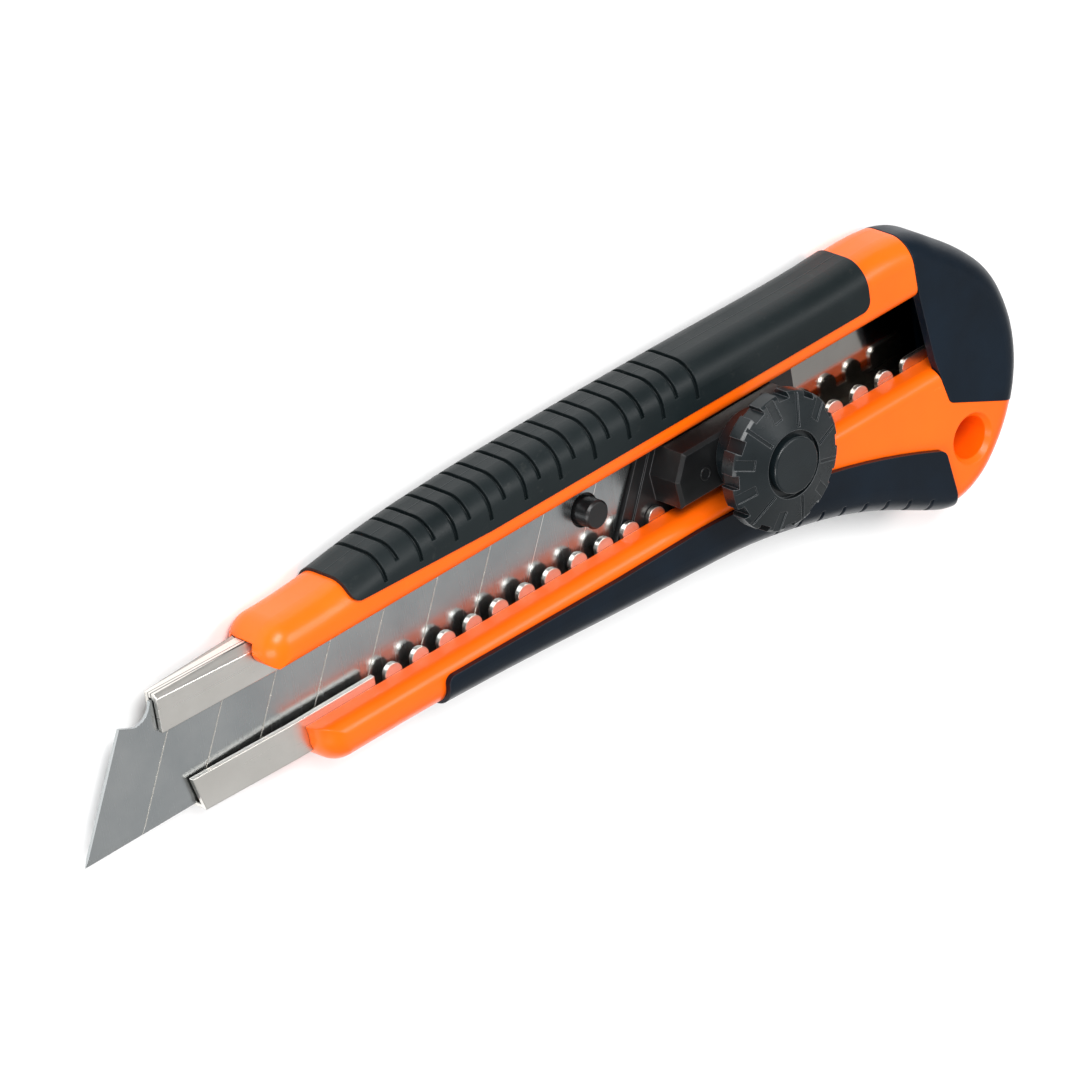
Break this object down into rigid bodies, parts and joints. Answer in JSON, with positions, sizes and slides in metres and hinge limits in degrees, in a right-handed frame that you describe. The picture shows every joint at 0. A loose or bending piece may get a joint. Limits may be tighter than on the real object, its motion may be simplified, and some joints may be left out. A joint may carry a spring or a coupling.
{
  "type": "snap-off utility knife",
  "caption": "Heavy-duty snap-off utility knife with grooved soft grip, steel blade channel with a toothed lock rail, sliding blade carrier, turning lock wheel and pull-off end cap.",
  "frame": {"origin": "on the flat back of the handle (Z = 0), on the blade's centre line, about half way along the knife", "axes": "+X from the blade towards the end cap, +Y towards the blade's back (the spine of the knife), +Z out of the front of the knife, the side with the lock wheel"},
  "size_m": [0.1734, 0.0446, 0.0219],
  "materials": {
    "handle": "gloss",
    "grip_rubber": "matte",
    "grip_hard": "satin",
    "channel": "satin",
    "cap": "satin",
    "blade": "polished",
    "slider": "satin",
    "lock_steel": "satin",
    "wheel": "gloss",
    "nut_brass": "satin"
  },
  "bodies": {
    "handle": {"handle_body": "handle", "upper_grip": "grip_rubber", "lower_grip": "grip_hard", "blade_channel": "channel"},
    "slider": {"slider": "slider", "blade": "blade", "thrust_washer": "lock_steel"},
    "wheel": {"lock_wheel": "wheel", "wheel_nut": "nut_brass", "hub_cap": "wheel"},
    "lock": {"lock_plate": "lock_steel", "lock_stud": "lock_steel", "stop_ring": "lock_steel"},
    "cap": {"end_cap": "cap"}
  },
  "joints": [
    {"name": "blade_slide", "type": "slide", "parent": "handle", "child": "slider", "axis": [1, 0, 0], "range_m": [-0.045, 0.025]},
    {"name": "wheel_turn", "type": "hinge", "parent": "slider", "child": "wheel", "pos_m": [0.0322, 0, 0.0185], "axis": [0, 0, 1], "range_deg": [-315, 0]},
    {"name": "lock_lift", "type": "slide", "parent": "slider", "child": "lock", "axis": [0, 0, 1], "range_m": [0, 0.0007]},
    {"name": "cap_pull", "type": "slide", "parent": "handle", "child": "cap", "axis": [1, 0, 0], "range_m": [0, 0.02]}
  ],
  "couplings": [
    {"joint": "wheel_turn", "follows": "lock_lift", "rad_per_m": -7853.9}
  ]
}
